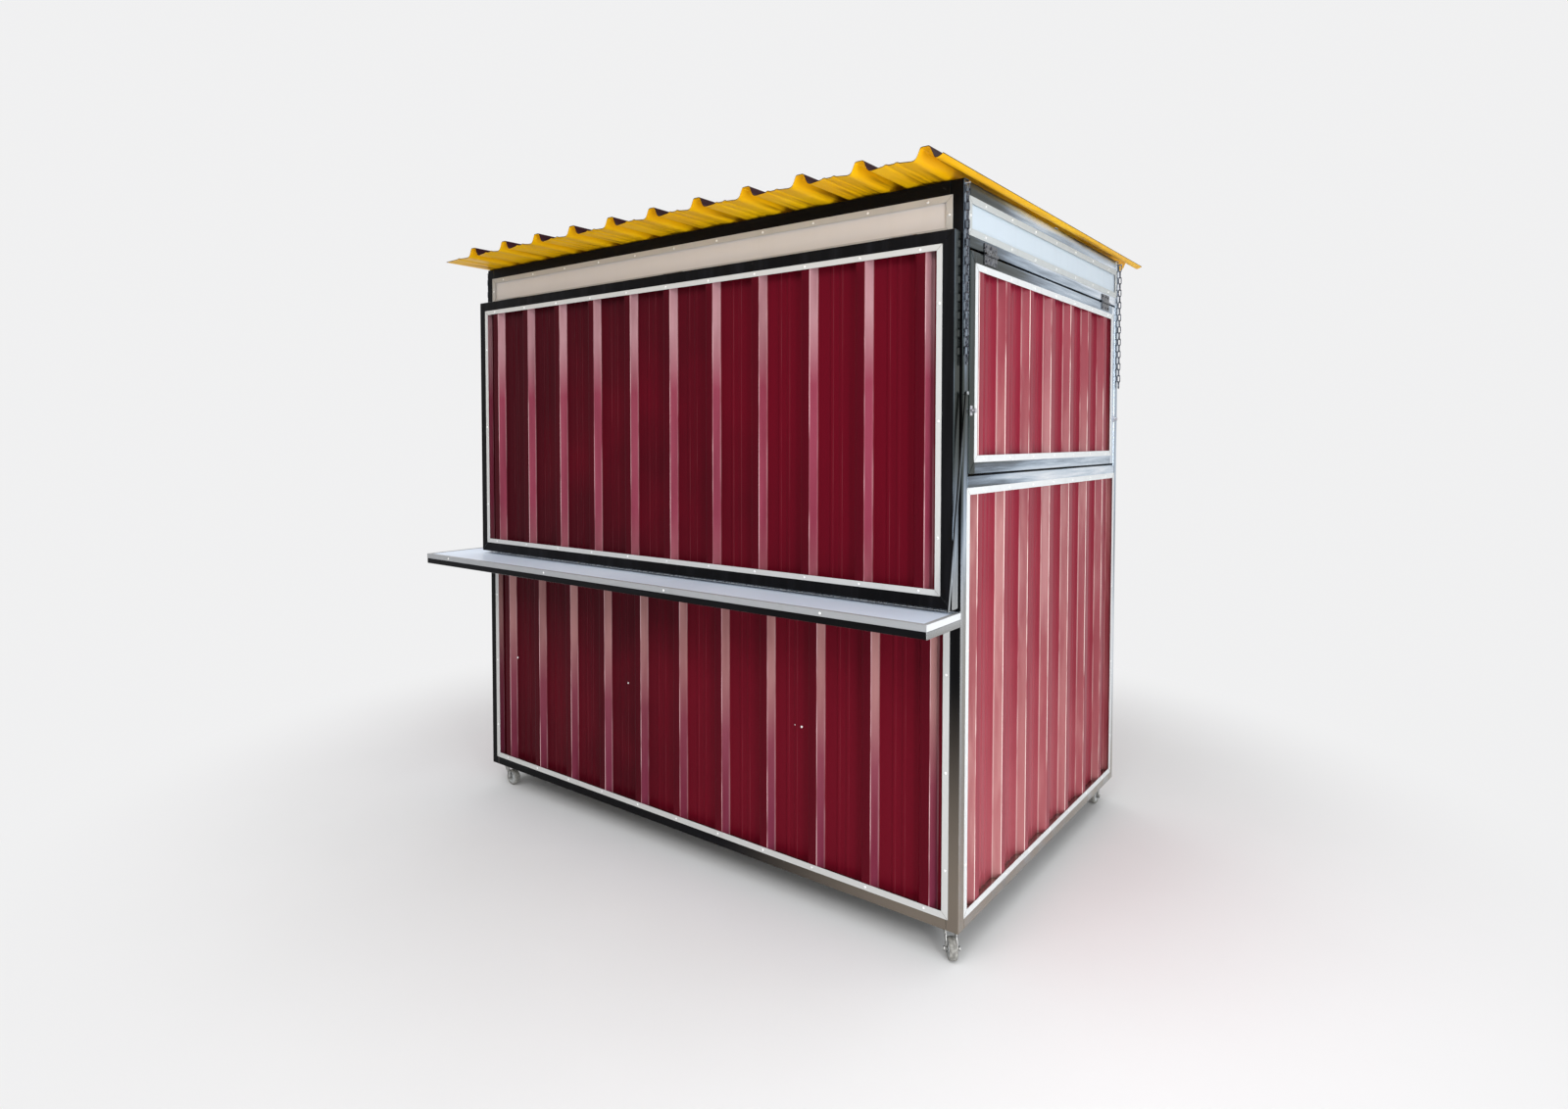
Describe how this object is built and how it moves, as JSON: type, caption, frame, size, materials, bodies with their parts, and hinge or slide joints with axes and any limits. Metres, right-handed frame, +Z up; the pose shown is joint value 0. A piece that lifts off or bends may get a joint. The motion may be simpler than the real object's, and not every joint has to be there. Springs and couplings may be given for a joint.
{
  "type": "street kiosk",
  "caption": "Small street kiosk on casters: a square-tube frame clad in ribbed sheet, with top-hung serving flaps, an L-shaped counter and a ribbed overhanging roof.",
  "frame": {"origin": "on the ground, under the middle of the overall box", "axes": "+X along the front to the right, +Y from the front to the back, +Z up"},
  "size_m": [2.392, 1.891, 2.272],
  "materials": {
    "galvanised": "galvanised, dull with streaks",
    "dark_tube": "dark semi-gloss",
    "yellow_sheet": "semi-gloss paint",
    "maroon_sheet": "gloss paint",
    "white_trim": "satin",
    "fascia_board": "matt",
    "counter_board": "gloss laminate",
    "hinge_steel": "dull",
    "zinc": "zinc plated",
    "wheel_rubber": "matt"
  },
  "bodies": {
    "kiosk": {"base_rails": "galvanised", "upper_rails": "galvanised", "front_posts": "galvanised", "rear_posts": "galvanised", "rear_jambs": "galvanised", "roof_battens": "galvanised", "rear_door_frame": "galvanised", "counter_frame": "dark_tube", "roof_sheet": "yellow_sheet", "front_wall": "maroon_sheet", "right_wall": "maroon_sheet", "left_wall": "maroon_sheet", "rear_walls": "maroon_sheet", "rear_door_panel": "maroon_sheet", "wall_trims": "white_trim", "fascia_trims": "white_trim", "counter_edge": "white_trim", "fascia_boards": "fascia_board", "counter_top": "counter_board", "hinge_leaves": "hinge_steel", "rear_door_fittings": "hinge_steel", "post_fittings": "zinc", "hanging_chains": "zinc", "caster_plates": "zinc"},
    "front_flap": {"front_flap_frame": "dark_tube", "front_flap_panel": "maroon_sheet", "front_flap_trim": "white_trim", "front_flap_leaves": "hinge_steel"},
    "right_flap": {"right_flap_frame": "galvanised", "right_flap_panel": "maroon_sheet", "right_flap_trim": "white_trim", "right_flap_fittings": "hinge_steel"},
    "left_flap": {"left_flap_frame": "galvanised", "left_flap_panel": "maroon_sheet", "left_flap_trim": "white_trim", "left_flap_fittings": "hinge_steel"},
    "right_prop": {"right_prop": "galvanised"},
    "left_prop": {"left_prop": "galvanised"},
    "caster_front_left": {"fork_front_left": "zinc"},
    "roller_front_left": {"wheel_front_left": "wheel_rubber"},
    "caster_front_right": {"fork_front_right": "zinc"},
    "roller_front_right": {"wheel_front_right": "wheel_rubber"},
    "caster_rear_left": {"fork_rear_left": "zinc"},
    "roller_rear_left": {"wheel_rear_left": "wheel_rubber"},
    "caster_rear_right": {"fork_rear_right": "zinc"},
    "roller_rear_right": {"wheel_rear_right": "wheel_rubber"}
  },
  "joints": [
    {"name": "front_flap_hinge", "type": "hinge", "parent": "kiosk", "child": "front_flap", "pos_m": [0.06, -0.745, 2.0955], "axis": [-1, 0, 0], "range_deg": [0, 90]},
    {"name": "right_flap_hinge", "type": "hinge", "parent": "kiosk", "child": "right_flap", "pos_m": [1.165, 0.0025, 2.049], "axis": [0, -1, 0], "range_deg": [0, 90]},
    {"name": "left_flap_hinge", "type": "hinge", "parent": "kiosk", "child": "left_flap", "pos_m": [-1.045, 0.0025, 2.049], "axis": [0, 1, 0], "range_deg": [0, 90]},
    {"name": "right_prop_pivot", "type": "hinge", "parent": "kiosk", "child": "right_prop", "pos_m": [1.167, -0.7285, 1.64], "axis": [-1, 0, 0], "range_deg": [0, 129]},
    {"name": "left_prop_pivot", "type": "hinge", "parent": "kiosk", "child": "left_prop", "pos_m": [-1.047, -0.7285, 1.64], "axis": [-1, 0, 0], "range_deg": [0, 139]},
    {"name": "front_left_swivel", "type": "hinge", "parent": "kiosk", "child": "caster_front_left", "pos_m": [-0.99, -0.6875, 0.083], "axis": [0, 0, 1], "continuous": true},
    {"name": "front_left_roll", "type": "hinge", "parent": "caster_front_left", "child": "roller_front_left", "pos_m": [-0.962, -0.6875, 0.0325], "axis": [0, 1, 0], "continuous": true},
    {"name": "front_right_swivel", "type": "hinge", "parent": "kiosk", "child": "caster_front_right", "pos_m": [1.11, -0.6875, 0.083], "axis": [0, 0, 1], "continuous": true},
    {"name": "front_right_roll", "type": "hinge", "parent": "caster_front_right", "child": "roller_front_right", "pos_m": [1.12724, -0.70956, 0.0325], "axis": [0.788, 0.6157, 0], "continuous": true},
    {"name": "rear_left_swivel", "type": "hinge", "parent": "kiosk", "child": "caster_rear_left", "pos_m": [-0.99, 0.6925, 0.083], "axis": [0, 0, 1], "continuous": true},
    {"name": "rear_left_roll", "type": "hinge", "parent": "caster_rear_left", "child": "roller_rear_left", "pos_m": [-1.00183, 0.66712, 0.0325], "axis": [0.9063, -0.4226, 0], "continuous": true},
    {"name": "rear_right_swivel", "type": "hinge", "parent": "kiosk", "child": "caster_rear_right", "pos_m": [1.11, 0.6925, 0.083], "axis": [0, 0, 1], "continuous": true},
    {"name": "rear_right_roll", "type": "hinge", "parent": "caster_rear_right", "child": "roller_rear_right", "pos_m": [1.11, 0.6645, 0.0325], "axis": [1, 0, 0], "continuous": true}
  ]
}
